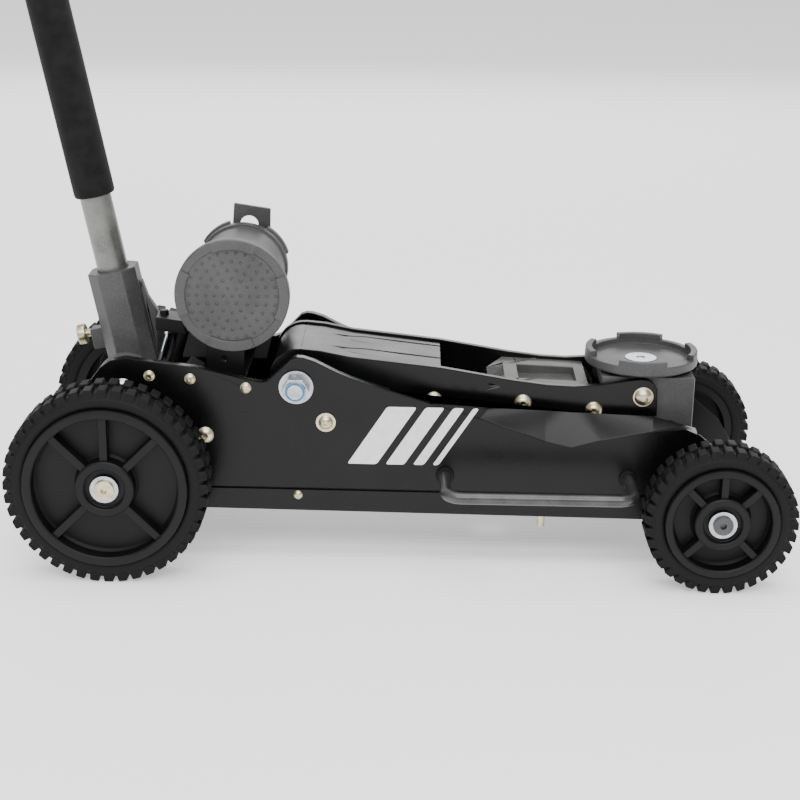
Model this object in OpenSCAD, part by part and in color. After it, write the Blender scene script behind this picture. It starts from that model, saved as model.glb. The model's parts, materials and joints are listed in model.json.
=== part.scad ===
// Hydraulic floor jack. Millimetres, +X forward (saddle end), +Y left, +Z up.
// The module bodies work from the rear axle (X = 0) on the ground (Z = 0);
// place() then moves the whole jack so that its box is centred on the origin.

/* [Wheels] */
// Distance between the two axles
wheel_base = 609.6; // [600:0.1:620]
// Rear tyre diameter
rear_d = 203.2; // [200:0.1:206]
// Rear tyre width
rear_w = 41.6; // [38:0.1:42]
// Front tyre diameter
front_d = 152.4; // [150:0.1:154]
// Front tyre width
front_w = 37.7; // [34:0.1:38]
// Overall width over the axle ends
overall_w = 330.2; // [328:0.1:334]

/* [Chassis] */
// Width over the side plates
chassis_w = 176; // [174:0.5:178]
// Side plate thickness
plate_t = 5; // [4:0.5:6]
// Inward lip along the top edge of a side plate
lip_w = 10; // [6:1:10]
// Skid plate sheet thickness
skid_t = 2.5; // [2:0.5:3]

/* [Lift arm] */
// Arm pivot to saddle yoke pivot
arm_len = 354.3; // [353:0.1:355]
// Arm bar thickness
arm_t = 8; // [6:0.5:8]
// Inside distance between the two arm bars
arm_gap = 94; // [93.5:0.5:95]
// Lever length from the arm pivot to the ram's crank pin
crank_r = 60; // [59:0.5:61]

/* [Saddle] */
// Saddle outer diameter
saddle_d = 117.6; // [114:0.2:120]
// Height of the saddle rim above the floor at rest
saddle_z = 204.5; // [203:0.5:206]

/* [Handle] */
// Backward lean of the handle at rest, degrees
lean = 11.5; // [10:0.5:13]
// Handle length above the socket pivot
handle_len = 1000; // [900:10:1100]
// Handle tube diameter
tube_d = 32; // [30:0.5:33]
// Foam sleeve diameter
foam_d = 42; // [38:1:44]

/* [Stored saddle extension] */
// Diameter of the extension's top plate
ext_d = 116; // [112:0.5:118]
// Overall length of the extension
ext_len = 134; // [130:1:138]

/* [Hidden] */
$fn = 72;
eps = 0.01;
run = 0.05;                       // radial clearance of a running fit
rear_r = rear_d / 2;
front_r = front_d / 2;
half_w = overall_w / 2;
py = chassis_w / 2;               // outer face of a side plate
pi_y = py - plate_t;              // inner face of a side plate
axle_r = 10;
tyre_y = 158;                     // outer face of every tyre
pivot = [184, 187.5];             // lift arm pivot, X and Z
yoke_pin = [pivot[0] + arm_len * cos(2.35), pivot[1] - arm_len * sin(2.35)];
link_shift = [30, -37];           // parallelogram offset from arm to link pivots
stub = pivot + link_shift;        // rear pivot of the equalizer links
link_pin = yoke_pin + link_shift; // front pivot of the equalizer links
crank_a = -23.75;                 // crank lever angle from straight down at rest
ram_z = 132.1;                    // height of the ram's axis
ram_x = 160.4;                    // clevis slot centre at rest
socket = [9, 182];                // handle socket pivot, X and Z
ext_c = [118.1, 274.4];           // axis of the stored extension, X and Z
saddle_x = 540.8;
screw_spots = [[36, 195.9], [77.2, 193.5], [133, 185.1]];
big_screw = [91.5, 134];
skid_spots = [[185.6, 70.5], [498.6, 69.6]];
stud = [437, -76];               // drain stud, X and Y
grip_x = [336, 523];              // pull handle legs
grip_z = 95.3;
grip_y = 151;
rod_r = 6;
back_x = socket[0] - (handle_len - 14) * sin(lean) - foam_d / 2 * cos(lean);
mid_x = (back_x + wheel_base + front_r) / 2;

// ---------- helpers ----------

// whole jack to its own frame
module place() translate([-mid_x, 0, 0]) children();

// cylinder along Y through [x, z], from y0 to y1
module rod_y(p, r, y0, y1) translate([p[0], y0, p[1]]) rotate([-90, 0, 0]) cylinder(r = r, h = y1 - y0);

// XZ outline extruded from y0 to y1
module slab(pts, y0, y1) translate([0, y1, 0]) rotate([90, 0, 0]) linear_extrude(y1 - y0) polygon(pts);

// the same thing on both sides
module both() { children(); mirror([0, 1, 0]) children(); }

// rotates about a Y axis through p, positive a raises what lies ahead
module swing(p, a) translate([p[0], 0, p[1]]) rotate([0, -a, 0]) translate([-p[0], 0, -p[1]]) children();

// handle frame: local Z runs up the handle from the socket pivot
module on_handle() translate([socket[0], 0, socket[1]]) rotate([0, -lean, 0]) children();

// domed screw head on the outside of a plane facing -Y, with its shank inwards
module screw(p, y, r, h, shank_r, shank_l) {
  translate([p[0], y, p[1]]) rotate([90, 0, 0]) {
    difference() {
      intersection() {
        cylinder(r = r, h = h);
        translate([0, 0, h - (r * r + h * h) / (2 * h)]) sphere(r = (r * r + h * h) / (2 * h));
      }
      translate([0, 0, h * 0.4]) cylinder(r = r * 0.36, h = h, $fn = 6);
    }
    translate([0, 0, -shank_l]) cylinder(r = shank_r, h = shank_l + 0.5);
  }
}

// ---------- chassis ----------

// top edge of a side plate from the rear corner to the start of the shelf
plate_top = [
  [-29, 184.4], [-22, 192], [-13.3, 203.8], [-3, 211.3], [12, 214.3], [37, 211.1], [87, 205.2],
  [137.4, 193], [149.5, 191.2], [156, 193.4], [163, 200], [173, 210.6], [178.5, 216.4], [184.5, 218.5],
  [191, 218], [202, 214.6], [225, 203.2], [238, 197.9], [278.5, 184.5], [319, 172.2]
];
// crease of the shelf, front end and bottom edge
plate_rest = [
  [370, 157.2], [437, 133.8], [464, 127.9], [493, 136.2], [546, 147.1], [578, 150], [594, 143.1], [614, 127],
  [643.5, 103], [659, 77], [654, 58], [640, 52.5], [538, 53.2], [97, 57.3], [-26, 58.5], [-44, 68],
  [-53, 90], [-52, 130], [-44, 160]
];
lip_t = 4;
lip_band = concat(
  [for (p = plate_top) if (p[0] > -14 && p[0] < 300) p],
  [for (i = [len(plate_top) - 1:-1:0]) if (plate_top[i][0] > -14 && plate_top[i][0] < 300) plate_top[i] - [0, lip_t]]
);
// pressed shelf: X, crease height, inner edge height
shelf = [
  [276, 185.2, 180.4], [319, 172.1, 168.4], [370, 157.1, 163.9], [437, 133.7, 161.6], [464, 127.8, 160.3],
  [493, 136.1, 159.3], [546, 147, 157.6], [592, 144, 145.6]
];
shelf_y = 70;
shelf_t = 4.2;

// thin slice of the shelf at one station
module shelf_slice(s) {
  translate([s[0], 0, 0]) rotate([90, 0, 90]) linear_extrude(0.01)
    polygon([[-py, s[1]], [-shelf_y, s[2]], [-shelf_y, s[2] - shelf_t], [-py, s[1] - shelf_t]]);
}

module shelf_solid() {
  for (i = [0:len(shelf) - 2]) hull() {
    shelf_slice(shelf[i]);
    shelf_slice(shelf[i + 1]);
  }
}

// right side plate, -Y side
module side_plate() {
  difference() {
    union() {
      slab(concat(plate_top, plate_rest), -py, -pi_y);
      slab(lip_band, -py + 1, -py + lip_w);
      shelf_solid();
    }
    translate([60, -py - 1, 0]) cube([525, 1 + skid_t, 78.5]);
    rod_y([0, rear_r], axle_r, -py - 1, -pi_y + 1);
    rod_y([wheel_base, front_r], axle_r, -py - 1, -pi_y + 1);
    rod_y(pivot, 8, -py - 1, -pi_y + 1);
    rod_y(stub, 6, -py - 1, -pi_y + 1);
    rod_y(socket, 7, -py - 1, -pi_y + 1);
    rod_y(big_screw, 5, -py - 1, -pi_y + 1);
    for (p = screw_spots) rod_y(p, 3, -py - 1, -pi_y + 1);
    for (p = skid_spots) rod_y(p, 3, -py - 1, -pi_y + 1);
    for (x = grip_x) rod_y([x, grip_z], 4, -py - 1, -pi_y + 1);
  }
}

module side_plate_right() { color("#2c2a2b") side_plate(); }
module side_plate_left() { color("#2c2a2b") mirror([0, 1, 0]) side_plate(); }

// belly pan with a flange up the outside of each side plate
module skid_plate() {
  flange = [[61, 55], [584, 50.3], [584, 75], [61, 77]];
  pan = [[61, 55], [584, 50.3], [584, 52.8], [61, 57.5]];
  color("#2c2a2b") difference() {
    union() {
      both() slab(flange, -py, -py + skid_t);
      slab(pan, -py, py);
    }
    both() for (p = skid_spots) rod_y(p, 3, -py - 1, -py + skid_t + 1);
    translate([stud[0], stud[1], 0]) cylinder(r = 4, h = 80);
    for (x = [240, 380]) translate([x, 0, 0]) cylinder(r = 14, h = 80);
  }
}

// button head screws and the larger bolt that hold the power unit and brackets
module frame_screws() {
  color("#cfc8ae") both() {
    for (p = screw_spots) screw(p, -py, 6, 3.2, 3, plate_t);
    screw(big_screw, -py, 9, 5, 5, plate_t + 6);
  }
}

// small screws along the skid flange, and the jack's drain stud below
module skid_screws() {
  color("#cfc8ae") {
    both() for (p = skid_spots) screw(p, -py, 5, 2.8, 3, plate_t);
    translate([stud[0], stud[1], 37]) cylinder(r = 4, h = 26);
    translate([stud[0], stud[1], 54.4]) cylinder(r = 6.5, h = 5, $fn = 6);
  }
}

module axle(p, reach) {
  difference() {
    rod_y(p, axle_r, -reach, reach);
    both() rod_y(p, 3, -reach - 1, -reach + 4);
  }
}
module front_axle() { color("#9a9a96") axle([wheel_base, front_r], half_w); }
module rear_axle() { color("#cfc8ae") axle([0, rear_r], half_w); }

module ring_y(p, r_out, r_in, y0, y1) {
  difference() {
    rod_y(p, r_out, y0, y1);
    rod_y(p, r_in, y0 - 1, y1 + 1);
  }
}

// clips that keep the wheels on
module axle_clips() {
  color("#8d8d8a") both() for (p = [[0, rear_r], [wheel_base, front_r]]) ring_y(p, 14, axle_r, -half_w + 3, -half_w + 4.6);
}

// tubes between the side plates and the wheels, with a washer against each hub
module axle_spacers() {
  color("#3a3a3a") both() {
    ring_y([0, rear_r], 15, axle_r, -tyre_y + rear_w + 0.6, -py);
    ring_y([wheel_base, front_r], 15, axle_r, -tyre_y + front_w + 0.6, -py);
  }
}

module pivot_bolt() { color("#b9bcc0") rod_y(pivot, 8, -py - 19, py + 19); }

// nylon insert lock nuts of the arm pivot
module pivot_nuts() {
  color("#b9bcc0") both() difference() {
    union() {
      translate([pivot[0], -py - 3, pivot[1]]) rotate([90, 0, 0]) cylinder(r = 24 / sqrt(3), h = 12, $fn = 6);
      rod_y(pivot, 10.4, -py - 18, -py - 14);
    }
    rod_y(pivot, 8, -py - 20, -py);
  }
}

module pivot_washers() { color("#c4c7ca") both() ring_y(pivot, 17.5, 8, -py - 3, -py); }

// U-shaped carrying rod on one side
module pull_handle() {
  bend = 16;
  y_in = -py;
  y_out = -grip_y;
  for (s = [0, 1]) {
    x = grip_x[s];
    dir = s == 0 ? 1 : -1;
    rod_y([x, grip_z], rod_r, y_out + bend, y_in);
    rod_y([x, grip_z], 4, y_in - eps, -pi_y + 12);
    translate([x + dir * bend, y_out + bend, grip_z]) rotate([0, 0, dir > 0 ? 180 : 270])
      rotate_extrude(angle = 90) translate([bend, 0]) circle(r = rod_r);
  }
  translate([grip_x[0] + bend, y_out, grip_z]) rotate([0, 90, 0]) cylinder(r = rod_r, h = grip_x[1] - grip_x[0] - 2 * bend);
}
module pull_handle_right() { color("#6f6f6f") pull_handle(); }
module pull_handle_left() { color("#6f6f6f") mirror([0, 1, 0]) pull_handle(); }

module pull_handle_nuts() {
  color("#b9bcc0") both() for (x = grip_x) difference() {
    translate([x, -pi_y + 8, grip_z]) rotate([90, 0, 0]) cylinder(r = 7.5, h = 8, $fn = 6);
    rod_y([x, grip_z], 4, -pi_y - 1, -pi_y + 9);
  }
}

// ---------- hydraulics ----------

// tank and valve casting between the side plates
module power_unit_body() {
  outline = [[24, 70], [104, 70], [104, 98], [92, 104], [92, 152], [86, 158], [76, 158], [76, 168],
    [62, 176], [40, 150], [24, 146]];
  color("#777777") difference() {
    union() {
      slab(outline, -50, 50);
      slab([[52, 76], [100, 76], [100, 150], [52, 150]], -pi_y, pi_y);
      on_pump() translate([0, 0, -40]) cylinder(r = 10.5, h = 18);
    }
    translate([0, 0, ram_z]) rotate([0, 90, 0]) cylinder(r = 22.5, h = 200);
    on_pump() translate([0, 0, -28]) cylinder(r = 8, h = 90);
    both() rod_y(big_screw, 5, -pi_y - 1, -pi_y + 12);
    translate([58, -34, 140]) cylinder(r = 5, h = 60);
    translate([58, -34, 168.5]) cylinder(r = 8, h = 30);
  }
}

// main cylinder
module hydraulic_cylinder() {
  color("#4a4a4a") translate([14, 0, ram_z]) rotate([0, 90, 0]) difference() {
    cylinder(r = 22.5, h = 92);
    translate([0, 0, 5]) cylinder(r = 16, h = 90);
  }
}

module gland_nut() {
  color("#9a9a96") translate([100, 0, ram_z]) rotate([0, 90, 0]) difference() {
    union() {
      cylinder(r = 16, h = 6);
      translate([0, 0, 6]) cylinder(r = 20.5, h = 6, $fn = 6);
    }
    translate([0, 0, -1]) cylinder(r = 10 + run, h = 20);
  }
}

pump_lean = 16.3;
pump_base = [37, -16, 185.4];
// pump frame: local Z runs up the plunger from the casting's top
module on_pump() translate(pump_base) rotate([0, pump_lean, 0]) children();

module pump_barrel() {
  color("#5a5a5a") on_pump() translate([0, 0, -28]) difference() {
    union() {
      cylinder(r = 8, h = 22);
      translate([0, 0, 21]) cylinder(r = 8, h = 5, $fn = 6);
    }
    translate([0, 0, 1]) cylinder(r = 4.5 + run, h = 30);
  }
}

module filler_plug() {
  color("#1c1c1c") {
    translate([58, -34, 150]) cylinder(r = 5, h = 20);
    translate([58, -34, 168.5]) cylinder(r = 8, h = 6);
  }
}

// saddle shaped rest across the chassis that carries the stored extension
module extension_cradle() {
  tab = [[90, 178], [129, 178], [129, 246], [90, 246]];
  color("#1e1e1e") difference() {
    union() {
      slab(tab, -54, -50);
      slab(tab, 42, 46);
      translate([90, -pi_y, 178]) cube([39, pi_y + 69, 4]);
      for (y = [-pi_y, 65]) translate([90, y, 178]) cube([39, 4, 11]);
    }
    rod_y(ext_c, 45.3, -100, 100);
    rod_y([107.9, 205], 3, -60, -40);
  }
}

// upright strap behind the stored extension, with a hanging hole at its top
module extension_keeper() {
  strap = [[47, 168], [47, 199], [70, 203], [101, 250], [107.5, 340.4], [146.4, 335], [145, 240], [152, 216], [141, 168]];
  color("#747474") difference() {
    union() {
      slab(strap, 69, 74);
      for (p = [screw_spots[1], screw_spots[2]]) rod_y(p, 4.5, 74 - eps, pi_y);
    }
    rod_y([123.5, 317.5], 9.75, 60, 80);
    for (p = [screw_spots[1], screw_spots[2]]) rod_y(p, 3, 60, pi_y + 1);
  }
}

// short pins through the side plates for the equalizer links
module link_stub_pins() {
  color("#cfc8ae") both() {
    rod_y(stub, 6, -py - 2, -pi_y);
    rod_y(stub, 9, -pi_y, -37);
    rod_y(stub, 6, -37, -27);
    ring_y(stub, 10, 6, -py - 1.6, -py);
    screw(stub, -py - 1.6, 7.5, 4, 5, 1);
  }
}

// ---------- lift arm ----------

arm_y = arm_gap / 2;
arm_top = [[176, 215], [186, 217.2], [206, 215.5], [237, 209.6], [288, 204.4], [329, 200], [370, 193.4], [404, 187.8],
  [439, 183.6], [466, 182.4], [493, 184.2], [520, 189.2], [535, 191.2], [543, 190.4], [548.5, 186.5], [552.5, 180.5]];
arm_low = [[553.5, 152], [520, 148], [430, 147], [330, 150], [262, 160], [240, 167.5], [206, 168], [196, 161]];

module arm_bar() {
  difference() {
    union() {
      slab(concat(arm_top, arm_low), -arm_y - arm_t, -arm_y);
      rod_y(pivot, 29.5, -arm_y - arm_t, -arm_y);
    }
    rod_y(pivot, 14, -100, 0);
    rod_y(yoke_pin, 8, -100, 0);
    for (p = arm_bolt_spots) rod_y(p, 4, -100, 0);
  }
}
arm_bolt_spots = [[323.5, 165], [415, 164], [488, 157.5]];
module lift_arm_right() { color("#2c2a2b") arm_bar(); }
module lift_arm_left() { color("#2c2a2b") mirror([0, 1, 0]) arm_bar(); }

// tube that turns on the pivot bolt and carries both bars and the crank lever
module arm_pivot_tube() { color("#333333") ring_y(pivot, 14, 8 + run, -pi_y + 0.4, pi_y - 0.4); }

crank_pin_at = [pivot[0] + crank_r * sin(crank_a), pivot[1] - crank_r * cos(crank_a)];
module arm_crank() {
  color("#333333") difference() {
    union() {
      rod_y(pivot, 23, -10, 10);
      rod_y(crank_pin_at, 13, -10, 10);
      swing(pivot, crank_a) translate([pivot[0] - 12, -9, pivot[1] - crank_r]) cube([24, 18, crank_r]);
    }
    rod_y(pivot, 14, -20, 20);
    rod_y(crank_pin_at, 7, -20, 20);
  }
}
module crank_pin() { color("#b9bcc0") rod_y(crank_pin_at, 7, -25, 25); }

// sheet between the bars, wrapped over the pivot, with two long flutes
module arm_cover() {
  path_top = [[186, 215], [206, 213.2], [237, 207.2], [288, 201.8], [330, 197.2]];
  path_low = [[330, 195], [288, 199.6], [237, 205], [206, 211], [186, 212.8]];
  flange = [[300, 200], [330, 196.5], [332, 158], [312, 158]];
  color("#262425") difference() {
    union() {
      slab(concat(path_top, path_low), -arm_y, arm_y);
      intersection() {
        ring_y(pivot, 27.6, 25.4, -arm_y, arm_y);
        translate([140, -60, 178]) cube([46.2, 120, 47]);
      }
      both() slab(flange, -arm_y, -arm_y + 2.5);
    }
    both() rod_y(arm_bolt_spots[0], 4, -60, -40);
    for (y = [-22, 22]) flute(y);
  }
}

// long pressed trough with a pointed rear end
module flute(y) {
  intersection() {
    slab([[200, 215.6], [228, 208], [288, 200.9], [331, 196.4], [331, 205], [288, 210], [200, 222]], -arm_y, arm_y);
    translate([0, 0, 150]) linear_extrude(80)
      polygon([[212, y], [250, y - 11], [340, y - 11], [340, y + 11], [250, y + 11]]);
  }
}

// cast spreader between the bars
module arm_brace() {
  color("#8b8b88") difference() {
    union() {
      slab([[396, 158], [484, 158], [484, 178.5], [396, 182]], -arm_y, arm_y);
      both() slab([[400, 150], [496, 148.5], [496, 160], [484, 176], [400, 176]], -arm_y, -39.5);
      both() translate([404, -34, 170]) cylinder(r = 8, h = 11.5);
    }
    both() for (i = [1, 2]) rod_y(arm_bolt_spots[i], 4, -60, -39);
    translate([412, -24, 170]) cube([60, 48, 30]);
  }
}

module arm_bolts() {
  color("#d2c8a2") both() for (p = arm_bolt_spots) screw(p, -arm_y - arm_t, 9.5, 6.2, 4, arm_t + (p[0] > 400 ? 7 : 2.5));
}

module yoke_pins() {
  color("#cfc8ae") both() {
    rod_y(yoke_pin, 8, -arm_y - arm_t, -38);
    ring_y(yoke_pin, 10.5, 6, -arm_y - arm_t - 1.6, -arm_y - arm_t);
    screw(yoke_pin, -arm_y - arm_t - 1.6, 9, 5, 6, 1.6);
  }
}

// rods that keep the saddle level
module equalizer_links() {
  color("#3a3a3a") both() difference() {
    union() {
      rod_y(stub, 11, -36, -28.5);
      rod_y(link_pin, 11, -36, -28.5);
      slab([[stub[0], stub[1] - 8], [link_pin[0], link_pin[1] - 8], [link_pin[0], link_pin[1] + 8], [stub[0], stub[1] + 8]], -36, -28.5);
    }
    rod_y(stub, 6 + run, -40, -20);
    rod_y(link_pin, 8 + run, -40, -20);
  }
}

yoke_y = 46;
module saddle_yoke() {
  side = [[496, 191.3], [496, 166], [505, 155], [526, 138], [548, 126], [592, 121], [592, 191.3]];
  inside = [[490, 178], [490, 110], [584, 110], [584, 178]];
  color("#6f6f6f") difference() {
    slab(side, -yoke_y, yoke_y);
    slab(inside, -37.5, 37.5);
    translate([saddle_x, 0, 170]) cylinder(r = 16 + run, h = 30);
    both() rod_y(yoke_pin, 8 + run, -50, -30);
    rod_y(link_pin, 8, -50, 50);
  }
}
module yoke_link_pin() { color("#b9bcc0") rod_y(link_pin, 8, -yoke_y, yoke_y); }

// four raised quarter tabs on a ring, local Z along the ring's axis
module tab_ring(r_in, r_out, h0, h1, turn, span) {
  for (i = [0:3]) rotate([0, 0, turn + 90 * i - span / 2]) rotate_extrude(angle = span)
    translate([r_in, h0]) square([r_out - r_in, h1 - h0]);
}

module saddle() {
  color("#6a6a6a") translate([saddle_x, 0, 0]) difference() {
    union() {
      translate([0, 0, 172]) cylinder(r = 16, h = 22);
      translate([0, 0, 191.6]) cylinder(r = 30, h = 2);
      translate([0, 0, 192.6]) cylinder(r1 = 54, r2 = saddle_d / 2, h = 2.4, $fn = 96);
      translate([0, 0, 195]) cylinder(r = saddle_d / 2, h = saddle_z - 195, $fn = 96);
      tab_ring(51, saddle_d / 2 - 0.3, saddle_z - 1, saddle_z + 5.5, 45, 50);
    }
    translate([0, 0, saddle_z - 6]) cylinder(r = 51.2, h = 20, $fn = 96);
    translate([0, 0, saddle_z - 8]) cylinder(r = 16.6, h = 20);
    translate([0, 0, 160]) cylinder(r = 6, h = 60);
  }
}
module saddle_bolt() {
  color("#a8a8a4") translate([saddle_x, 0, 0]) difference() {
    union() {
      translate([0, 0, 174]) cylinder(r = 6, h = 24);
      translate([0, 0, saddle_z - 8]) cylinder(r = 16.5, h = 2.4);
    }
    translate([0, 0, saddle_z - 6.8]) cylinder(r = 5, h = 5, $fn = 6);
  }
}

// ---------- ram ----------

module ram_rod() {
  color("#c8ccd0") translate([0, 0, ram_z]) rotate([0, 90, 0]) {
    translate([0, 0, 28.5]) cylinder(r = 16 - run, h = 12);
    translate([0, 0, 40]) cylinder(r = 10, h = ram_x - 26 - 40);
  }
}

slot_half = 7 + 1;
module ram_clevis() {
  color("#555555") difference() {
    union() {
      translate([ram_x - 38, -23, ram_z - 12]) cube([12, 46, 24]);
      both() slab([[ram_x - 38, ram_z - 12], [ram_x + 4, ram_z - 20], [ram_x + 16, ram_z - 20],
        [ram_x + 16, ram_z + 20], [ram_x + 4, ram_z + 20], [ram_x - 38, ram_z + 12]], -23, -12);
    }
    hull() {
      rod_y([ram_x, ram_z + 5.8], slot_half, -30, 30, $fn = 32);
      rod_y([ram_x, ram_z - 5.8], slot_half, -30, 30, $fn = 32);
    }
    translate([ram_x - 39, 0, ram_z]) rotate([0, 90, 0]) cylinder(r = 10, h = 13);
  }
}

// ---------- handle ----------

oct = 25;
cut = 12.5;
oct_pts = [[oct, oct - cut], [oct - cut, oct], [cut - oct, oct], [-oct, oct - cut],
  [-oct, cut - oct], [cut - oct, -oct], [oct - cut, -oct], [oct, cut - oct]];
socket_top = 105;

module handle_socket() {
  color("#6f6f6f") difference() {
    union() {
      on_handle() linear_extrude(socket_top) polygon(oct_pts);
      rod_y(socket, 17, -61, 61);
      both() rod_y(socket, 30, -77.6, -60);
      slab([[18, 274], [24, 256], [33.5, 241.5], [33.5, 186], [14, 170]], -6, 6);
      on_handle() translate([-oct - 13, -8, 24]) cube([14, 16, 22]);
    }
    on_handle() translate([0, 0, 36]) cylinder(r = tube_d / 2 + run, h = 100);
    rod_y(socket, 7 + run, -100, 100);
    on_handle() translate([-60, 0, 41]) rotate([0, 90, 0]) cylinder(r = 4 + run, h = 50);
  }
}

module socket_pivot_bolt() {
  color("#9a9a96") union() {
    rod_y(socket, 7, -py - 1, py + 1);
    both() screw(socket, -py, 11, 5, 5, 1);
  }
}

// clamp screw with a flat thumb head at the back of the socket
module lock_screw() {
  color("#d9d2b8") on_handle() translate([0, 0, 41]) rotate([0, -90, 0]) {
    translate([0, 0, tube_d / 2 + 0.3]) cylinder(r = 4, h = 30);
    translate([0, 0, 44]) cylinder(r = 11, h = 8);
  }
}

module handle_tube() {
  color("#8a8a88") on_handle() translate([0, 0, 37]) difference() {
    cylinder(r = tube_d / 2, h = handle_len - 37 - 12);
    translate([0, 0, -1]) cylinder(r = tube_d / 2 - 2.5, h = handle_len);
  }
}
module sleeve(r_out, r_in, z0, z1) {
  difference() {
    translate([0, 0, z0]) cylinder(r = r_out, h = z1 - z0);
    translate([0, 0, z0 - 1]) cylinder(r = r_in, h = z1 - z0 + 2);
  }
}
foam_z = [183, 600];
module handle_foam() { color("#2a2829") on_handle() sleeve(foam_d / 2, tube_d / 2, foam_z[0], foam_z[1]); }
module hand_grip() { color("#1f1f1f") on_handle() sleeve(foam_d / 2, tube_d / 2, 850, handle_len - 14); }
module grip_cap() {
  color("#1f1f1f") on_handle() {
    translate([0, 0, handle_len - 12]) cylinder(r = tube_d / 2 + 1, h = 12);
    translate([0, 0, handle_len - 40]) cylinder(r = tube_d / 2 - 2.5, h = 29);
  }
}

// plunger of the pump, chrome rod with its collar
module pump_plunger() {
  color("#d5dae0") on_pump() {
    translate([0, 0, -12]) cylinder(r = 4.5, h = 54);
    translate([0, 0, 36]) cylinder(r = 6.5, h = 6);
  }
}

// block on top of the plunger with its pull bar
module pump_crosshead() {
  color("#1e1e1e") difference() {
    union() {
      slab([[35, 240], [62, 236.5], [66, 222], [46, 224.5], [35, 226]], -27, 5);
      translate([42, -11, 236]) cylinder(r = 4.5, h = 8);
      on_pump() translate([14, 0, 6]) cylinder(r = 5.5, h = 39);
    }
    on_pump() translate([0, 0, 10]) cylinder(r = 6.5, h = 32);
  }
}

// ---------- wheels ----------

// tyre between radii r0 and r1, width w, outer face at y = -tyre_y
module tyre(r0, r1, w, lugs) {
  prof = [[r0, 2], [r0 + 8, 0], [r1 - 13, 0], [r1 - 9, 1.2], [r1 - 1.2, 2.6], [r1, 5.5],
    [r1, w - 5.5], [r1 - 1.2, w - 2.6], [r1 - 9, w - 1.2], [r1 - 13, w], [r0 + 8, w], [r0, w - 2]];
  difference() {
    rotate_extrude($fn = 144) polygon(prof);
    for (i = [0:lugs - 1]) rotate([0, 0, 360 * (i + 0.5) / lugs]) {
      translate([r1 - 5.5, -2.6, -1]) cube([10, 5.2, w * 0.34]);
      rotate([0, 0, 180 / lugs]) translate([r1 - 5.5, -2.6, w * 0.7]) cube([10, 5.2, w]);
    }
  }
}

// spoked hub: rim ring, web, five ribs, boss with a recess for the clip
module hub(r_rim, r_ring, r_boss, w) {
  difference() {
    union() {
      rotate_extrude($fn = 96) polygon([[r_ring, -5], [r_rim - 1.5, -5], [r_rim, -3.5], [r_rim, w - 2], [r_ring, w - 2]]);
      rotate_extrude($fn = 96) polygon([[axle_r + run, 12], [r_ring + 1, 12], [r_ring + 1, 17], [axle_r + run, 17]]);
      rotate_extrude($fn = 96) polygon([[axle_r + run, 0.2], [r_boss - 6, 0.2], [r_boss - 6, -5], [r_boss, -5],
        [r_boss, w], [axle_r + run, w]]);
      for (a = [45, 135, 225, 270, 315]) rotate([0, 0, a]) translate([r_boss - 2, -4, -2]) cube([r_ring - r_boss + 4, 8, 16]);
    }
  }
}

module at_wheel(p, side) {
  if (side < 0) translate([p[0], -tyre_y, p[1]]) rotate([-90, 0, 0]) children();
  else mirror([0, 1, 0]) translate([p[0], -tyre_y, p[1]]) rotate([-90, 0, 0]) children();
}
rear_c = [0, rear_r];
front_c = [wheel_base, front_r];
module rear_tyre() tyre(82, rear_r, rear_w, 44);
module front_tyre() tyre(57, front_r, front_w, 36);
module rear_hub() hub(82, 72.5, 29, rear_w);
module front_hub() hub(57, 49, 27.4, front_w);
module rear_tyre_right() { color("#262626") at_wheel(rear_c, -1) rear_tyre(); }
module rear_hub_right() { color("#303030") at_wheel(rear_c, -1) rear_hub(); }
module rear_tyre_left() { color("#262626") at_wheel(rear_c, 1) rear_tyre(); }
module rear_hub_left() { color("#303030") at_wheel(rear_c, 1) rear_hub(); }
module front_tyre_right() { color("#262626") at_wheel(front_c, -1) front_tyre(); }
module front_hub_right() { color("#303030") at_wheel(front_c, -1) front_hub(); }
module front_tyre_left() { color("#262626") at_wheel(front_c, 1) front_tyre(); }
module front_hub_left() { color("#303030") at_wheel(front_c, 1) front_hub(); }

// ---------- stored extension ----------

// local Z runs from the top plate's face to the foot, along +Y
module at_ext() translate([ext_c[0], -ext_len / 2, ext_c[1]]) rotate([-90, 0, 0]) children();

module extension_plate() {
  color("#6c6c6c") at_ext() {
    difference() {
      union() {
        translate([0, 0, 1.5]) cylinder(r = ext_d / 2, h = 10.5, $fn = 96);
        tab_ring(47, ext_d / 2 - 0.2, 0, 4, 52, 50);
      }
      translate([0, 0, -1]) cylinder(r = 49, h = 4, $fn = 96);
    }
    for (i = [1:5]) for (k = [0:6 * i - 1]) rotate([0, 0, 60 * k / i])
      translate([8.8 * i, 0, 2.3]) cylinder(r = 0.9, h = 1.5);
    translate([0, 0, 2.3]) cylinder(r = 0.9, h = 1.5);
  }
}

module extension_body() {
  color("#6c6c6c") at_ext() difference() {
    union() {
      translate([0, 0, 12]) cylinder(r = 45, h = ext_len - 18, $fn = 96);
      translate([0, 0, ext_len - 18]) cylinder(r = 47.8, h = 12, $fn = 96);
      tab_ring(43, 50.3, ext_len - 8, ext_len, 52, 42);
    }
    translate([0, 0, 11]) cylinder(r = 38, h = ext_len - 27, $fn = 96);
  }
}

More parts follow.
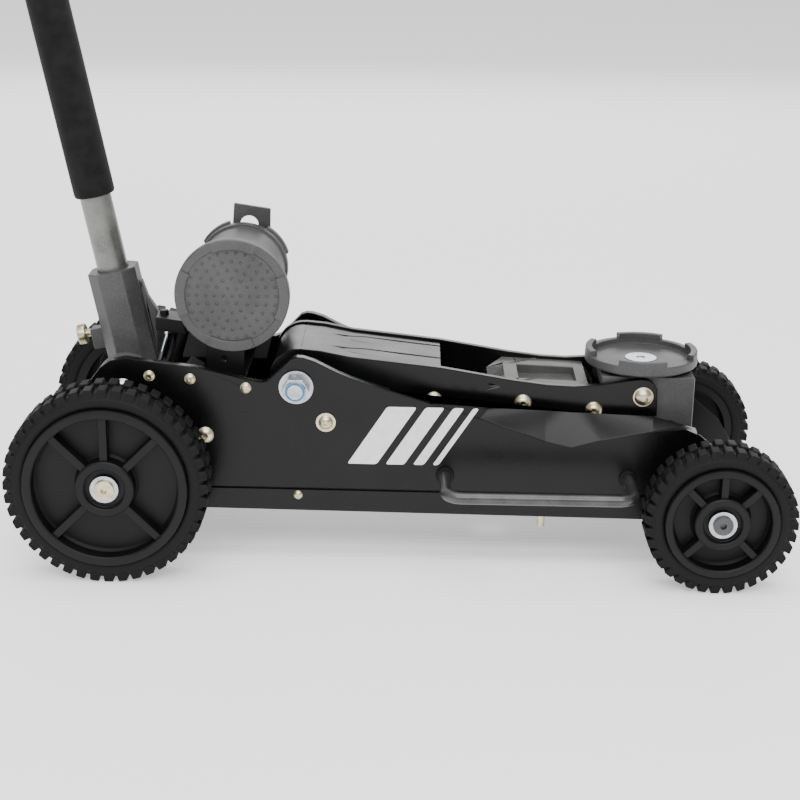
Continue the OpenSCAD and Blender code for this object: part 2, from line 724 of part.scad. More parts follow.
place() side_plate_right();
place() side_plate_left();
place() skid_plate();
place() frame_screws();
place() skid_screws();
place() front_axle();
place() rear_axle();
place() axle_clips();
place() axle_spacers();
place() pivot_bolt();
place() pivot_nuts();
place() pivot_washers();
place() pull_handle_right();
place() pull_handle_left();
place() pull_handle_nuts();
place() power_unit_body();
place() hydraulic_cylinder();
place() gland_nut();
place() pump_barrel();
place() filler_plug();
place() extension_cradle();
place() extension_keeper();
place() link_stub_pins();
place() lift_arm_right();
place() lift_arm_left();
place() arm_pivot_tube();
place() arm_crank();
place() crank_pin();
place() arm_cover();
place() arm_brace();
place() arm_bolts();
place() yoke_pins();
place() equalizer_links();
place() saddle_yoke();
place() yoke_link_pin();
place() saddle();
place() saddle_bolt();
place() ram_rod();
place() ram_clevis();
place() handle_socket();
place() socket_pivot_bolt();
place() lock_screw();
place() handle_tube();
place() handle_foam();
place() hand_grip();
place() grip_cap();
place() pump_plunger();
place() pump_crosshead();
place() rear_tyre_right();
place() rear_hub_right();
place() rear_tyre_left();
place() rear_hub_left();
place() front_tyre_right();
place() front_hub_right();
place() front_tyre_left();
place() front_hub_left();
place() extension_body();
place() extension_plate();
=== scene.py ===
import json
import math
import bmesh
import bpy
from mathutils import Matrix, Vector


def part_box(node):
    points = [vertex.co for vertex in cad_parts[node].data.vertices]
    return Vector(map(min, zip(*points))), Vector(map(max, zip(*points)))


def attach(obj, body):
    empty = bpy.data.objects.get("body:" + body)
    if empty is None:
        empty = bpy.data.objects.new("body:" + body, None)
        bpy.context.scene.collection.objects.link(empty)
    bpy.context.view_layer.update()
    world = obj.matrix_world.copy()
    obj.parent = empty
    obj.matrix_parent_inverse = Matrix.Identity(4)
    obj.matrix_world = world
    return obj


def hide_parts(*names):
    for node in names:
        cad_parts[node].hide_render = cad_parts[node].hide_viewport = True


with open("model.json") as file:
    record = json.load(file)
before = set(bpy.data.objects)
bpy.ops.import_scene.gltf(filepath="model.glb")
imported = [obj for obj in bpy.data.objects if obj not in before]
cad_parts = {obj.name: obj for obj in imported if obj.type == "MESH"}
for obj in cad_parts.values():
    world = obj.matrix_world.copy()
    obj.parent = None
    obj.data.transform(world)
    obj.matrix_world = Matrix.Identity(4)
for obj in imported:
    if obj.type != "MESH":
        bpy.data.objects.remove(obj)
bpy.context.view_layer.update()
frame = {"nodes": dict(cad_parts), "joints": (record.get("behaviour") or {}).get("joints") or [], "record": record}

nodes = frame["nodes"]
mergeGap = 0.00001  # points closer than this are one point, in metres


def srgb(hexValue):  # sRGB hex to the linear values that Blender wants
    out = []
    for i in (1, 3, 5):
        c = int(hexValue[i:i + 2], 16) / 255
        out.append(c / 12.92 if c <= 0.04045 else ((c + 0.055) / 1.055) ** 2.4)
    return (*out, 1.0)


def clearSelection():
    if bpy.context.object and bpy.context.object.mode != "OBJECT":
        bpy.ops.object.mode_set(mode="OBJECT")
    bpy.ops.object.select_all(action="DESELECT")


def pick(obj):
    clearSelection()
    bpy.context.view_layer.objects.active = obj
    obj.select_set(True)


def applyPlace(obj):
    pick(obj)
    bpy.ops.object.transform_apply(location=True, rotation=True, scale=True)


def applyModifiers(obj):
    pick(obj)
    for m in list(obj.modifiers):
        bpy.ops.object.modifier_apply(modifier=m.name)


def recalcNormals(obj):
    pick(obj)
    bpy.ops.object.mode_set(mode="EDIT")
    bpy.ops.mesh.select_all(action="SELECT")
    bpy.ops.mesh.remove_doubles(threshold=mergeGap)
    bpy.ops.mesh.normals_make_consistent(inside=False)
    bpy.ops.object.mode_set(mode="OBJECT")


def smoothByAngle(obj, degrees=35):
    pick(obj)
    bpy.ops.object.shade_smooth_by_angle(angle=math.radians(degrees))


def joinAll(objs, name):
    clearSelection()
    for o in objs:
        o.select_set(True)
    bpy.context.view_layer.objects.active = objs[0]
    if len(objs) > 1:
        bpy.ops.object.join()
    objs[0].name = name
    return objs[0]


def centreOf(node):
    lo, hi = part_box(node)
    return (lo + hi) / 2


rearAxle = centreOf("rear_axle")
camera = {
    "offset": Vector((0.2971, -1.7247, 0.7240)),  # from the point on the floor under the rear axle
    "lens": 77.02,
    "yaw": -0.292, "pitch": 18.528, "roll": -0.991,
}


def addCamera():
    yaw, pitch, roll = (math.radians(camera[k]) for k in ("yaw", "pitch", "roll"))
    ahead = Vector((math.sin(yaw) * math.cos(pitch), math.cos(yaw) * math.cos(pitch), -math.sin(pitch)))
    right = Vector((math.cos(yaw), -math.sin(yaw), 0))
    down = ahead.cross(right)
    rightRolled = right * math.cos(roll) + down * math.sin(roll)
    downRolled = down * math.cos(roll) - right * math.sin(roll)
    turn = Matrix((rightRolled, -downRolled, -ahead)).transposed().to_4x4()
    data = bpy.data.cameras.new("camera")
    data.lens = camera["lens"]
    data.sensor_width = 36
    data.clip_end = 50
    cam = bpy.data.objects.new("camera", data)
    bpy.context.scene.collection.objects.link(cam)
    cam.matrix_world = Matrix.Translation(Vector((rearAxle.x, 0, 0)) + camera["offset"]) @ turn
    bpy.context.scene.camera = cam


addCamera()
print("camera placed")


def addNode(tree, kind, settings=None, links=None):
    node = tree.nodes.new(kind)
    for key, value in (settings or {}).items():
        if isinstance(key, int) or key in node.inputs:
            node.inputs[key].default_value = value
        else:
            setattr(node, key, value)
    for key, source in (links or {}).items():
        tree.links.new(source, node.inputs[key])
    return node


black = {"IOR": 1.5, "Specular IOR Level": 0.24}
casting = {"Metallic": 0.35, "Specular IOR Level": 0.5}
metal = {"Metallic": 1.0}
flakePaint = {"Metallic": 0.75, "Coat Weight": 0.25, "Coat Roughness": 0.2}
rubber = {"Specular IOR Level": 0.2}
nylon = {"IOR": 1.5, "Specular IOR Level": 0.22}
foamSkin = {"Specular IOR Level": 0.15, "Sheen Weight": 0.06}
finishes = {  # patch, grain, cells and depth are in millimetres; rough is from the shiniest to the dullest spot
    # powder coat: deep gloss with the faint orange peel of a baked finish
    "gloss_black": {"name": "gloss_black_powder_coat", "low": "#080809", "high": "#0F0F10", "patch": 60, "grain": 2.4,
                    "depth": 0.2, "relief": 0.12, "rough": (0.22, 0.34), "shader": black},
    # thinner black paint on pressings: softer highlights than the side plates
    "black_steel": {"name": "satin_black_paint", "low": "#090909", "high": "#111111", "patch": 50, "grain": 2.2,
                    "depth": 0.2, "relief": 0.12, "rough": (0.4, 0.52), "shader": black},
    # paint over sand castings: dull grey with a pitted grain and lighter flecks
    "grey_casting": {"name": "grey_casting_paint", "low": "#424242", "high": "#525252", "fleck": "#6A6A6A",
                     "patch": 45, "grain": 1.6, "depth": 0.3, "relief": 0.35, "rough": (0.42, 0.6), "shader": casting},
    "pale_casting": {"name": "pale_casting_paint", "low": "#4A4A48", "high": "#5C5C5A", "fleck": "#747470",
                     "patch": 45, "grain": 1.6, "depth": 0.3, "relief": 0.35, "rough": (0.42, 0.6), "shader": casting},
    # zinc plating: satin metal with a patchy passivate tint
    "zinc_yellow": {"name": "yellow_zinc_plate", "low": "#B9AD87", "high": "#DCD4BC", "patch": 9, "grain": 1.2,
                    "depth": 0.1, "relief": 0.12, "rough": (0.24, 0.38), "shader": metal},
    "zinc_silver": {"name": "bright_zinc_plate", "low": "#A2A6AB", "high": "#C6CACF", "patch": 9, "grain": 1.2,
                    "depth": 0.1, "relief": 0.12, "rough": (0.22, 0.36), "shader": metal},
    # ground and chromed rod: a mirror with a faint haze
    "chrome": {"name": "hard_chrome", "low": "#E0E4EA", "high": "#E8ECF2", "patch": 4, "grain": 1.5,
               "depth": 0.05, "relief": 0.03, "rough": (0.05, 0.16), "shader": metal},
    # metallic paint: fine pale flakes under a thin clear coat
    "grey_rod": {"name": "grey_rod_paint", "low": "#3E3E3E", "high": "#525252", "fleck": "#6A6A6A", "patch": 20,
                 "grain": 1.1, "depth": 0.1, "relief": 0.05, "rough": (0.3, 0.44), "shader": flakePaint},
    "grey_tube": {"name": "grey_tube_paint", "low": "#62625F", "high": "#7A7A77", "fleck": "#9A9A97", "patch": 20,
                  "grain": 1.1, "depth": 0.1, "relief": 0.05, "rough": (0.3, 0.44), "shader": flakePaint},
    # closed cell foam: very dull, with small open pores
    "foam": {"name": "closed_cell_foam", "low": "#121111", "high": "#1D1C1C", "patch": 14, "grain": 1.8, "cells": 1.8,
             "depth": 0.4, "relief": 0.3, "rough": (0.86, 0.95), "shader": foamSkin},
    # cured rubber: matte, lightly blooming, with a fine mould grain
    "grip_rubber": {"name": "grip_rubber", "low": "#0A0A0A", "high": "#121212", "patch": 22, "grain": 1.0,
                    "depth": 0.2, "relief": 0.22, "rough": (0.55, 0.72), "shader": rubber},
    "tyre_rubber": {"name": "tread_rubber", "low": "#0A0A0A", "high": "#131212", "patch": 22, "grain": 1.0,
                    "depth": 0.2, "relief": 0.22, "rough": (0.55, 0.72), "shader": rubber},
    # moulded nylon: satin, with the fine texture of a spark eroded mould
    "hub_black": {"name": "moulded_nylon", "low": "#0A0A0A", "high": "#111111", "patch": 30, "grain": 0.9,
                  "depth": 0.1, "relief": 0.15, "rough": (0.4, 0.52), "shader": nylon},
    "plug_plastic": {"name": "plug_plastic", "low": "#0C0C0C", "high": "#131313", "patch": 12, "grain": 0.9,
                     "depth": 0.1, "relief": 0.15, "rough": (0.38, 0.5), "shader": nylon},
    # vinyl film and a thin plastic ring: satin and barely mottled
    "vinyl": {"name": "white_vinyl", "low": "#DEDEDE", "high": "#EAEAEA", "patch": 6, "grain": 2.0,
              "depth": 0.1, "relief": 0.05, "rough": (0.42, 0.5), "shader": {"IOR": 1.5}},
    "lock_ring": {"name": "blue_lock_ring", "low": "#2F6E9C", "high": "#4286B4", "patch": 6, "grain": 2.0,
                  "depth": 0.1, "relief": 0.05, "rough": (0.42, 0.5), "shader": {"IOR": 1.5}},
}


def makeFinish(look):
    m = bpy.data.materials.new(look["name"])
    m.use_nodes = True
    tree = m.node_tree
    tree.nodes.clear()
    coord = addNode(tree, "ShaderNodeTexCoord").outputs["Object"]
    patch = addNode(tree, "ShaderNodeTexNoise", {"Scale": 1000 / look["patch"], "Detail": 4}, {"Vector": coord})
    grain = addNode(tree, "ShaderNodeTexNoise", {"Scale": 1000 / look["grain"], "Detail": 4, "Roughness": 0.65},
                    {"Vector": coord})
    spread = addNode(tree, "ShaderNodeMapRange", {"From Min": 0.35, "From Max": 0.65},
                     {"Value": patch.outputs["Fac"]})
    colour = addNode(tree, "ShaderNodeMix", {"data_type": "RGBA", 6: srgb(look["low"]), 7: srgb(look["high"])},
                     {"Factor": spread.outputs["Result"]}).outputs[2]
    if "fleck" in look:  # pale specks over part of the surface
        sparse = addNode(tree, "ShaderNodeMapRange", {"From Min": 0.52, "From Max": 0.72, "To Max": 0.5},
                         {"Value": grain.outputs["Fac"]})
        colour = addNode(tree, "ShaderNodeMix", {"data_type": "RGBA", 7: srgb(look["fleck"])},
                         {"Factor": sparse.outputs["Result"], 6: colour}).outputs[2]
    shiny, dull = look["rough"]
    rough = addNode(tree, "ShaderNodeMapRange",
                    {"From Min": 0.3, "From Max": 0.7, "To Min": shiny, "To Max": dull},
                    {"Value": patch.outputs["Fac"]})
    height = grain.outputs["Fac"]
    if "cells" in look:
        cells = addNode(tree, "ShaderNodeTexVoronoi", {"Scale": 1000 / look["cells"]}, {"Vector": coord})
        height = cells.outputs["Distance"]
    relief = addNode(tree, "ShaderNodeBump", {"Strength": look["relief"], "Distance": look["depth"] / 1000},
                     {"Height": height})
    surface = addNode(tree, "ShaderNodeBsdfPrincipled", look["shader"], {
        "Base Color": colour, "Roughness": rough.outputs["Result"], "Normal": relief.outputs["Normal"]})
    addNode(tree, "ShaderNodeOutputMaterial", links={"Surface": surface.outputs["BSDF"]})
    return m


materials = {slot: makeFinish(look) for slot, look in finishes.items()}
slotOf = {s["node"]: s["material_slot"] for s in frame["record"]["subparts"]}


for name, obj in nodes.items():
    obj.data.materials.clear()
    obj.data.materials.append(materials[slotOf[name]])
print("materials made")


bodyOf = {n: b for b, members in frame["record"]["behaviour"]["bodies"].items() for n in members}


def turned(name, origin, along, outward, profile, steps=96, degrees=360):
    # the profile is a closed loop of (distance along the axis, radius), both in millimetres
    loop = [origin + along * (a / 1000) + outward * (r / 1000) for a, r in profile + profile[:1]]
    clearSelection()
    bpy.ops.mesh.primitive_plane_add(size=0.002, location=loop[0])
    piece = bpy.context.object
    piece.name = name
    applyPlace(piece)
    bpy.ops.object.mode_set(mode="EDIT")
    bpy.ops.mesh.select_mode(type="VERT")
    bpy.ops.mesh.select_all(action="SELECT")
    bpy.ops.mesh.merge(type="CENTER")  # one point left, to draw the profile with
    for a, b in zip(loop, loop[1:]):
        bpy.ops.mesh.extrude_region_move(TRANSFORM_OT_translate={"value": b - a})
    bpy.ops.mesh.select_all(action="SELECT")
    bpy.ops.mesh.remove_doubles(threshold=mergeGap)
    bpy.ops.mesh.spin(steps=steps, angle=math.radians(degrees), center=origin, axis=along)
    bpy.ops.mesh.select_all(action="SELECT")
    bpy.ops.mesh.remove_doubles(threshold=mergeGap)
    if degrees < 360:
        bpy.ops.mesh.fill_holes(sides=0)
    bpy.ops.mesh.select_all(action="SELECT")
    bpy.ops.mesh.normals_make_consistent(inside=False)
    bpy.ops.object.mode_set(mode="OBJECT")
    return piece


def repeatAround(piece, count, centre, axis):
    pick(piece)
    bpy.ops.object.mode_set(mode="EDIT")
    bpy.ops.mesh.select_all(action="SELECT")
    turn = 2 * math.pi * (count - 1) / count
    bpy.ops.mesh.spin(steps=count - 1, angle=turn, dupli=True, center=centre, axis=axis)
    bpy.ops.object.mode_set(mode="OBJECT")


def roundBlock(name, place, size, bevel, turn=0.0):
    # block with eased edges, size in metres, turned about Y
    clearSelection()
    bpy.ops.mesh.primitive_cube_add(size=1, location=place, rotation=(0, turn, 0), scale=size)
    piece = bpy.context.object
    piece.name = name
    applyPlace(piece)
    bpy.ops.object.mode_set(mode="EDIT")
    bpy.ops.mesh.select_all(action="SELECT")
    bpy.ops.mesh.bevel(offset=bevel, segments=2, affect="EDGES")
    bpy.ops.object.mode_set(mode="OBJECT")
    return piece


def otherSide(piece, name):  # the same piece on the left of the jack, with its own mesh
    pick(piece)
    bpy.ops.object.duplicate()
    twin = bpy.context.object
    twin.name = name
    twin.scale = (1, -1, 1)
    applyPlace(twin)
    recalcNormals(twin)
    return twin


def finishPiece(piece, slot, body, *replaced, smooth=35):
    smoothByAngle(piece, smooth)
    bpy.ops.object.modifier_add(type="WEIGHTED_NORMAL")  # flat faces stay flat beside their eased edges
    piece.modifiers[-1].keep_sharp = True
    applyModifiers(piece)
    piece.data.materials.clear()
    piece.data.materials.append(materials[slot])
    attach(piece, body)
    if replaced:
        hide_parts(*replaced)


tyres = {
    "rear": {"rim": 82.0, "outer": 101.6, "width": 41.6, "lugs": 44, "lug": (10.6, 8.6), "slant": 0.0},
    "front": {"rim": 57.0, "outer": 76.2, "width": 37.7, "lugs": 36, "lug": (9.8, 8.8), "slant": 0.0022},
}


def addLugs(name, centre, face, spec, inner):
    # one shoulder lug at the top of the tyre, repeated around it; the inner row sits half a pitch on
    wide, deep = spec["lug"]
    reach = spec["width"] * 0.42
    y = face + (spec["width"] - reach / 2 - 0.5 if inner else reach / 2 + 0.5) / 1000
    top = (spec["outer"] - 0.25) / 1000
    clearSelection()
    bpy.ops.mesh.primitive_cube_add(size=1, location=(centre.x, y, centre.z + top - deep / 2000),
                                    scale=(wide / 1000, reach / 1000, deep / 1000))
    lug = bpy.context.object
    lug.name = name
    applyPlace(lug)
    bpy.ops.object.mode_set(mode="EDIT")
    bpy.ops.mesh.select_mode(type="FACE")
    mesh = bmesh.from_edit_mesh(lug.data)
    wall = -1 if not inner else 1

    def chooseFace(test):
        for f in mesh.faces:
            f.select_set(test(f.normal))
        mesh.select_flush_mode()
        bmesh.update_edit_mesh(lug.data)

    chooseFace(lambda n: n.z > 0.9)  # the worn top is narrower than the foot
    bpy.ops.transform.resize(value=(0.86, 0.97, 1))
    bpy.ops.transform.translate(value=(spec["slant"], 0, 0))
    chooseFace(lambda n: n.y * wall > 0.7)  # small pocket in the wall side of each lug
    bpy.ops.mesh.inset(thickness=0.0023, depth=0)
    bpy.ops.transform.translate(value=(0, -wall * 0.0015, -0.0006))
    bpy.ops.mesh.select_all(action="SELECT")
    bpy.ops.mesh.bevel(offset=0.0009, segments=1, affect="EDGES")
    if inner:
        step = math.pi / spec["lugs"]
        bpy.ops.transform.rotate(value=step, orient_axis="Y", center_override=(centre.x, y, centre.z))
    bpy.ops.object.mode_set(mode="OBJECT")
    repeatAround(lug, spec["lugs"], (centre.x, y, centre.z), (0, 1, 0))
    return lug


def addTyre(end):
    spec = tyres[end]
    lo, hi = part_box(f"{end}_tyre_right")
    centre = Vector(((lo.x + hi.x) / 2, 0, (lo.z + hi.z) / 2))
    foot = spec["outer"] - 4.2
    w, rim = spec["width"], spec["rim"]
    half = [(2.2, rim), (0.9, rim + 0.9), (0.2, rim + 2.4), (0.0, rim + 4), (0.1, rim + 8.6), (0.9, rim + 9.6),
            (1.2, rim + 10.4), (2.6, foot - 2.2), (5.6, foot)]
    profile = half + [(w - a, r) for a, r in reversed(half)]
    carcass = turned(f"{end}_tyre_tread_right", Vector((centre.x, lo.y, centre.z)), Vector((0, 1, 0)),
                     Vector((0, 0, 1)), profile, 120)
    rows = [addLugs("lug", centre, lo.y, spec, inner) for inner in (False, True)]
    right = joinAll([carcass, *rows], f"{end}_tyre_tread_right")
    left = otherSide(right, f"{end}_tyre_tread_left")
    finishPiece(right, "tyre_rubber", f"{end}_wheel_right", f"{end}_tyre_right", smooth=28)
    finishPiece(left, "tyre_rubber", f"{end}_wheel_left", f"{end}_tyre_left", smooth=28)


for end in tyres:
    addTyre(end)
print("tyres modelled")


hubs = {
    "rear": {"rim": 82.0, "ring": 72.5, "boss": 29.0, "recess": 20.5, "width": 41.6, "rib": 8.0},
    "front": {"rim": 57.0, "ring": 49.0, "boss": 27.4, "recess": 19.5, "width": 37.7, "rib": 7.4},
}
ribAngles = (45, 90, 135, 225, 315)  # degrees up from straight ahead
proud = 5.0                          # the hub stands this far out of the tyre's wall


def addHub(end):
    spec = hubs[end]
    lo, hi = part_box(f"{end}_hub_right")
    centre = Vector(((lo.x + hi.x) / 2, lo.y, (lo.z + hi.z) / 2))  # lo.y is the hub's outer face
    rim, ring, boss, hole, w = spec["rim"], spec["ring"], spec["boss"], spec["recess"], spec["width"] + proud
    profile = [(5.4, 10.1), (5.4, hole - 1), (4.6, hole), (0.8, hole), (0, hole + 1), (0, boss - 1.4), (1.2, boss),
               (14.5, boss + 0.4), (17, boss + 3), (17, ring - 3), (14.5, ring - 0.4), (1.2, ring), (0, ring + 1.3),
               (0, rim - 2.2), (0.7, rim - 0.8), (2.2, rim - 0.05), (w - 2, rim - 0.05), (w - 2, ring), (24, ring),
               (22, ring - 2), (22, boss + 2), (24, boss), (w, boss), (w, 10.1)]
    parts = [turned("hub", centre, Vector((0, 1, 0)), Vector((0, 0, 1)), profile, 96)]
    length = (ring - boss + 4) / 1000
    reach = (ring + boss) / 2000
    for angle in ribAngles:
        a = math.radians(angle)
        place = centre + Vector((math.cos(a) * reach, 0.0108, math.sin(a) * reach))
        parts.append(roundBlock("rib", place, (length, 0.0156, spec["rib"] / 1000), 0.0012, turn=-a))
    right = joinAll(parts, f"{end}_hub_moulding_right")
    left = otherSide(right, f"{end}_hub_moulding_left")
    finishPiece(right, "hub_black", f"{end}_wheel_right", f"{end}_hub_right")
    finishPiece(left, "hub_black", f"{end}_wheel_left", f"{end}_hub_left")


for end in hubs:
    addHub(end)
print("hubs modelled")


extensionFace = {"outer": 58.0, "cup": 49.0, "floor": 3.0, "tabs": (52, 50), "pitch": 8.8, "rings": 5, "bead": 1.55}


def addExtensionFace():
    spec = extensionFace
    lo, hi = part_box("extension_plate")
    centre = Vector(((lo.x + hi.x) / 2, lo.y, (lo.z + hi.z) / 2))
    along = Vector((0, 1, 0))
    r, cup, deep = spec["outer"], spec["cup"], spec["floor"]
    plate = [(deep, 0), (deep, cup - 0.6), (deep - 0.5, cup), (1.9, cup + 0.2), (1.5, cup + 0.8), (1.5, r - 0.8),
             (2.3, r), (11.2, r), (12, r - 0.8), (12, 0)]
    parts = [turned("plate", centre, along, Vector((0, 0, 1)), plate, 120)]
    first, span = spec["tabs"]
    tab = [(0, 47.9), (0, r - 1), (0.8, r - 0.2), (4, r - 0.2), (4, 47.2), (0.7, 47.2)]
    for i in range(4):
        a = math.radians(first + 90 * i - span / 2)
        outward = Vector((math.cos(a), 0, -math.sin(a)))
        parts.append(turned("tab", centre, along, outward, tab, 16, span))
    clearSelection()
    bead = spec["bead"] / 1000
    floorY = centre.y + deep / 1000
    bpy.ops.mesh.primitive_uv_sphere_add(segments=10, ring_count=6, radius=bead,
                                         location=(centre.x, floorY, centre.z), rotation=(math.pi / 2, 0, 0))
    dot = bpy.context.object
    applyPlace(dot)
    bpy.ops.object.mode_set(mode="EDIT")
    bpy.ops.mesh.select_all(action="SELECT")
    bpy.ops.transform.resize(value=(1, 0.75, 1), center_override=(centre.x, floorY, centre.z))
    bpy.ops.mesh.bisect(plane_co=(centre.x, floorY + 0.0002, centre.z), plane_no=(0, 1, 0),
                        clear_outer=True, use_fill=True)
    bpy.ops.object.mode_set(mode="OBJECT")
    for ring in range(1, spec["rings"] + 1):
        pick(dot)
        bpy.ops.object.duplicate()
        row = bpy.context.object
        row.location = (spec["pitch"] * ring / 1000, 0, 0)
        applyPlace(row)
        repeatAround(row, 6 * ring, centre, along)
        parts.append(row)
    parts.append(dot)
    face = joinAll(parts, "extension_face")
    finishPiece(face, "grey_casting", "extension", "extension_plate", smooth=40)


addExtensionFace()
print("extension face modelled")


saddleShape = {  # heights above the bottom of its pin and radii, in millimetres
    "rim": 58.8, "cup": 51.2, "pin": 16.0, "boss": 30.0, "bolt": 6.0, "disc": 16.6,
    "underside": 20.6, "floor": 26.5, "edge": 32.5, "top": 38.0, "tabs": (45, 50),
}


def addSaddle():
    spec = saddleShape
    lo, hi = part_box("saddle")
    base = Vector(((lo.x + hi.x) / 2, (lo.y + hi.y) / 2, lo.z))
    up = Vector((0, 0, 1))
    under, floorZ, edge, top = spec["underside"], spec["floor"], spec["edge"], spec["top"]
    rim, cup = spec["rim"], spec["cup"]
    pin, boss, disc = spec["pin"], spec["boss"], spec["disc"]
    dish = [(0, spec["bolt"]), (0, pin - 1), (1, pin), (under - 1, pin), (under - 1, boss), (under, boss),
            (under, 53), (under + 0.4, 54), (under + 2.4, rim - 0.8), (under + 3.6, rim),
            (edge - 1.2, rim), (edge - 0.3, rim - 0.5), (edge, rim - 1.4), (edge, cup + 1.2),
            (edge - 0.4, cup + 0.4), (edge - 1.4, cup), (floorZ + 1.4, cup), (floorZ + 0.4, cup - 0.5),
            (floorZ, cup - 1.6), (floorZ, disc + 0.8), (floorZ - 0.6, disc), (floorZ - 2, disc),
            (floorZ - 2, spec["bolt"])]
    parts = [turned("dish", base, up, Vector((1, 0, 0)), dish, 120)]
    tab = [(edge - 1.6, cup + 0.1), (top - 1, cup + 0.1), (top - 0.3, cup + 0.5), (top, cup + 1.4), (top, rim - 1.8),
           (top - 0.4, rim - 0.8), (top - 1.2, rim - 0.3), (edge - 1.6, rim - 0.3)]
    first, span = spec["tabs"]
    for i in range(4):
        a = math.radians(first + 90 * i - span / 2)
        parts.append(turned("tab", base, up, Vector((math.cos(a), math.sin(a), 0)), tab, 16, span))
    finishPiece(joinAll(parts, "saddle_dish"), "grey_casting", "saddle_head", "saddle", smooth=40)


addSaddle()
print("saddle modelled")


sleeves = {"foam": (21.0, 16.05, 183.0, 600.0), "grip": (21.0, 16.05, 850.0, 986.0), "groove": 1.1, "pitch": 8.0}
handleAxis = Vector(next(j["axis"] for j in frame["joints"] if j["name"] == "handle_twist")).normalized()
handlePivot = centreOf("socket_pivot_bolt")


def addFoam():
    r, bore, low, high = sleeves["foam"]
    end = [(0, bore), (0, r - 2.6), (0.7, r - 1.1), (2.2, r - 0.3), (4.5, r - 0.05)]
    profile = [(low + a, b) for a, b in end] + [(high - a, b) for a, b in reversed(end)]
    foam = turned("foam_sleeve", handlePivot, handleAxis, Vector((0, 1, 0)), profile, 64)
    finishPiece(foam, "foam", "handle", "handle_foam", smooth=50)


def addGrip():
    r, bore, low, high = sleeves["grip"]
    deep, pitch = sleeves["groove"], sleeves["pitch"]
    profile = [(low, bore), (low, r - 1.4), (low + 1.4, r)]
    z = low + 8
    while z < high - 8:  # grooves that the fingers hold
        profile += [(z, r), (z + 0.9, r - deep), (z + 2.4, r - deep), (z + 3.3, r)]
        z += pitch
    profile += [(high - 1.4, r), (high, r - 1.4), (high, bore)]
    grip = turned("grooved_grip", handlePivot, handleAxis, Vector((0, 1, 0)), profile, 64)
    finishPiece(grip, "grip_rubber", "handle", "hand_grip")


addFoam()
addGrip()
print("sleeves modelled")


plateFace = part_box("side_plate_right")[0].y  # outer face of the right side plate
lockRing = {"inner": 8.1, "outer": 9.9, "deep": 1.6, "under": 17.0}  # under is its place out from the plate
decal = {  # in metres; clear is the gap to the plate and thick that of the film
    "left": 0.236, "low": 0.106, "tall": 0.062, "slant": 0.040, "bars": (0.030, 0.019, 0.011, 0.006), "gap": 0.009,
    "clear": 0.00008, "thick": 0.00012, "corner": 0.0025,
}


def addLockRings():
    lo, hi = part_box("pivot_bolt")
    y = plateFace - lockRing["under"] / 1000
    centre = Vector(((lo.x + hi.x) / 2, y, (lo.z + hi.z) / 2))
    a, b, t = lockRing["inner"], lockRing["outer"], lockRing["deep"]
    profile = [(0, a), (0, b), (-t + 0.4, b), (-t, b - 0.5), (-t, a + 0.3), (-t + 0.3, a)]
    right = turned("lock_ring_right", centre, Vector((0, 1, 0)), Vector((0, 0, 1)), profile, 48)
    left = otherSide(right, "lock_ring_left")
    for ring in (right, left):
        finishPiece(ring, "lock_ring", "frame")


def addDecal():
    y = plateFace - decal["clear"]
    x = rearAxle.x + decal["left"]
    middle = decal["low"] + decal["tall"] / 2
    bars = []
    for wide in decal["bars"]:
        centre = (x + wide / 2, y, middle)
        clearSelection()
        bpy.ops.mesh.primitive_plane_add(size=1, location=centre, rotation=(math.pi / 2, 0, 0))
        bar = bpy.context.object
        applyPlace(bar)
        bpy.ops.object.mode_set(mode="EDIT")
        bpy.ops.mesh.select_mode(type="VERT")
        bpy.ops.transform.resize(value=(wide, 1, decal["tall"]), center_override=centre)
        mesh = bmesh.from_edit_mesh(bar.data)
        for v in mesh.verts:
            v.select_set(v.co.z > middle)
        mesh.select_flush_mode()
        bmesh.update_edit_mesh(bar.data)
        bpy.ops.transform.translate(value=(decal["slant"], 0, 0))
        bpy.ops.mesh.select_all(action="SELECT")
        bpy.ops.mesh.bevel(offset=decal["corner"], segments=4, affect="VERTICES")
        bpy.ops.mesh.select_all(action="SELECT")
        bpy.ops.mesh.extrude_region_move(TRANSFORM_OT_translate={"value": (0, -decal["thick"], 0)})
        bpy.ops.object.mode_set(mode="OBJECT")
        recalcNormals(bar)
        bars.append(bar)
        x += wide + decal["gap"]
    stripes = joinAll(bars, "striped_decal")
    finishPiece(stripes, "vinyl", "frame")


rodFootRing = {"outer": 9.2, "bore": 6.05, "tall": 4.0}  # dark ring in the grip rubber finish round the foot of each carrying rod, where the rod meets its plate


def addRodFootRings():
    lo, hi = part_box("pull_handle_right")
    radius = rodFootRing["bore"] / 1000
    footRings = []
    # a dark ring round the foot of each rod on the right plate, mirrored onto the left
    for x in (lo.x + radius, hi.x - radius):
        centre = Vector((x, plateFace, (lo.z + hi.z) / 2))
        r, bore, t = rodFootRing["outer"], rodFootRing["bore"], rodFootRing["tall"]
        profile = [(0, bore), (0, r), (-t + 1.6, r), (-t + 0.5, r - 0.5), (-t, r - 1.6), (-t, bore)]
        footRings.append(turned("foot_ring", centre, Vector((0, 1, 0)), Vector((0, 0, 1)), profile, 48))
    right = joinAll(footRings, "rod_foot_rings_right")
    left = otherSide(right, "rod_foot_rings_left")
    for pair in (right, left):
        finishPiece(pair, "grip_rubber", "frame")


addLockRings()
addDecal()
addRodFootRings()
print("lock rings, decal and bushes modelled")


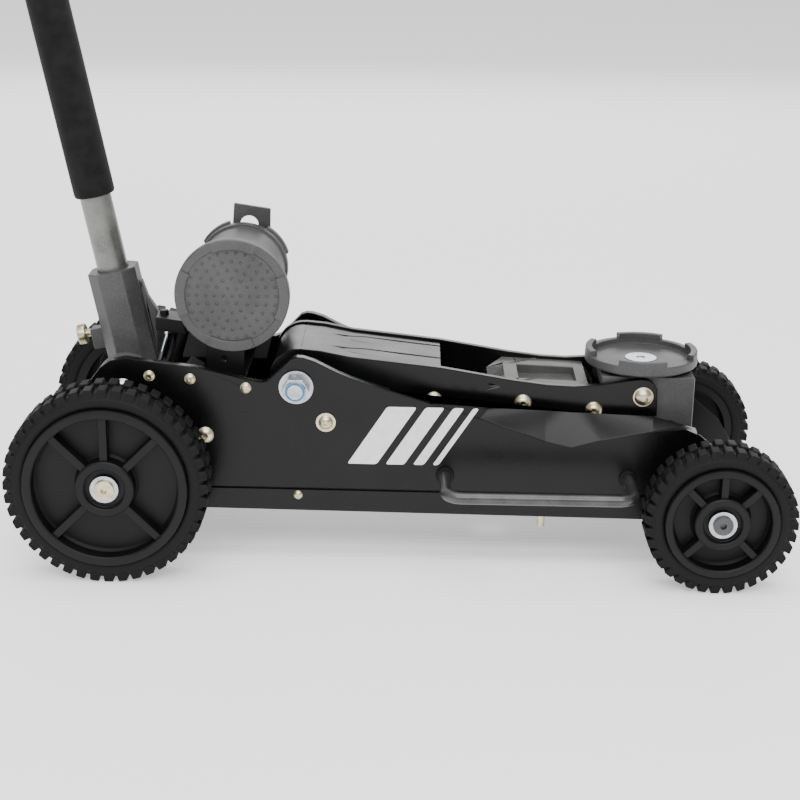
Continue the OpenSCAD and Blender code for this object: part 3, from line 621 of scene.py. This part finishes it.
easedEdges = {  # radius in millimetres that each part's edges are eased to
    "side_plate_right": 0.9, "side_plate_left": 0.9, "skid_plate": 0.5, "lift_arm_right": 1.1, "lift_arm_left": 1.1,
    "arm_cover": 0.5, "arm_brace": 1.2, "saddle_yoke": 1.8, "saddle_bolt": 0.4, "handle_socket": 1.4,
    "extension_keeper": 0.7, "extension_cradle": 0.7, "extension_body": 1.0, "power_unit_body": 1.6,
    "pump_crosshead": 0.9, "pump_barrel": 0.4, "filler_plug": 0.8, "gland_nut": 0.5, "arm_crank": 0.9,
    "ram_clevis": 0.9, "equalizer_links": 0.7, "pivot_nuts": 0.7, "pivot_washers": 0.4, "pivot_bolt": 0.8,
    "front_axle": 0.8, "rear_axle": 0.8, "lock_screw": 0.9, "grip_cap": 2.2, "frame_screws": 0.3, "arm_bolts": 0.4,
    "yoke_pins": 0.4, "skid_screws": 0.25, "socket_pivot_bolt": 0.4, "pull_handle_nuts": 0.4,
}


def easeEdges(node, radius):
    source = nodes[node]
    piece = bpy.data.objects.new(node + "_eased", source.data.copy())
    bpy.context.scene.collection.objects.link(piece)
    pick(piece)
    if piece.data.has_custom_normals:
        bpy.ops.mesh.customdata_custom_splitnormals_clear()
    bpy.ops.object.mode_set(mode="EDIT")
    bpy.ops.mesh.select_all(action="SELECT")
    bpy.ops.mesh.remove_doubles(threshold=mergeGap)
    bpy.ops.mesh.dissolve_limited(angle_limit=math.radians(0.4))
    bpy.ops.object.mode_set(mode="OBJECT")
    bpy.ops.object.modifier_add(type="BEVEL")
    bevel = piece.modifiers[-1]
    bevel.width = radius / 1000
    bevel.segments = 2
    bevel.limit_method = "ANGLE"
    bevel.angle_limit = math.radians(38)
    bevel.use_clamp_overlap = False
    applyModifiers(piece)
    finishPiece(piece, slotOf[node], bodyOf[node], node, smooth=34)


for node, radius in easedEdges.items():
    easeEdges(node, radius)
print("edges eased")


studio = {
    "floor": "#FFFFFF", "glow": 0.45,  # backlit paper, so that it stays white
    "softboxes": [  # place, what it is aimed at, width, depth, power
        ((0.1, -2.9, 2.9), (0, 0, 0.15), 4.2, 1.6, 120),
        ((0.0, 3.3, 1.5), (0, 0, 0.15), 4.0, 1.0, 50),
        ((0.0, -0.2, 3.6), (0, 0, 0.15), 3.0, 2.4, 90),
    ],
    "sky": 0.72,
}


def addStudio():
    clearSelection()
    bpy.ops.mesh.primitive_plane_add(size=60, location=(0, 6, 0))
    floor = bpy.context.object
    floor.name = "studio_floor"
    applyPlace(floor)
    paper = bpy.data.materials.new("studio_paper")
    paper.use_nodes = True
    surface = paper.node_tree.nodes["Principled BSDF"]
    surface.inputs["Base Color"].default_value = srgb(studio["floor"])
    surface.inputs["Roughness"].default_value = 0.9
    surface.inputs["Emission Color"].default_value = srgb(studio["floor"])
    surface.inputs["Emission Strength"].default_value = studio["glow"]
    floor.data.materials.append(paper)
    for i, (place, target, wide, deep, power) in enumerate(studio["softboxes"]):
        data = bpy.data.lights.new(f"softbox_{i}", "AREA")
        data.shape = "RECTANGLE"
        data.size = wide
        data.size_y = deep
        data.energy = power
        lamp = bpy.data.objects.new(f"softbox_{i}", data)
        bpy.context.scene.collection.objects.link(lamp)
        lamp.location = place
        lamp.rotation_euler = (Vector(target) - Vector(place)).to_track_quat("-Z", "Y").to_euler()
    world = bpy.data.worlds.new("studio")
    bpy.context.scene.world = world
    world.use_nodes = True
    world.node_tree.nodes["Background"].inputs["Color"].default_value = srgb("#FFFFFF")
    world.node_tree.nodes["Background"].inputs["Strength"].default_value = studio["sky"]


addStudio()
print("studio lit")
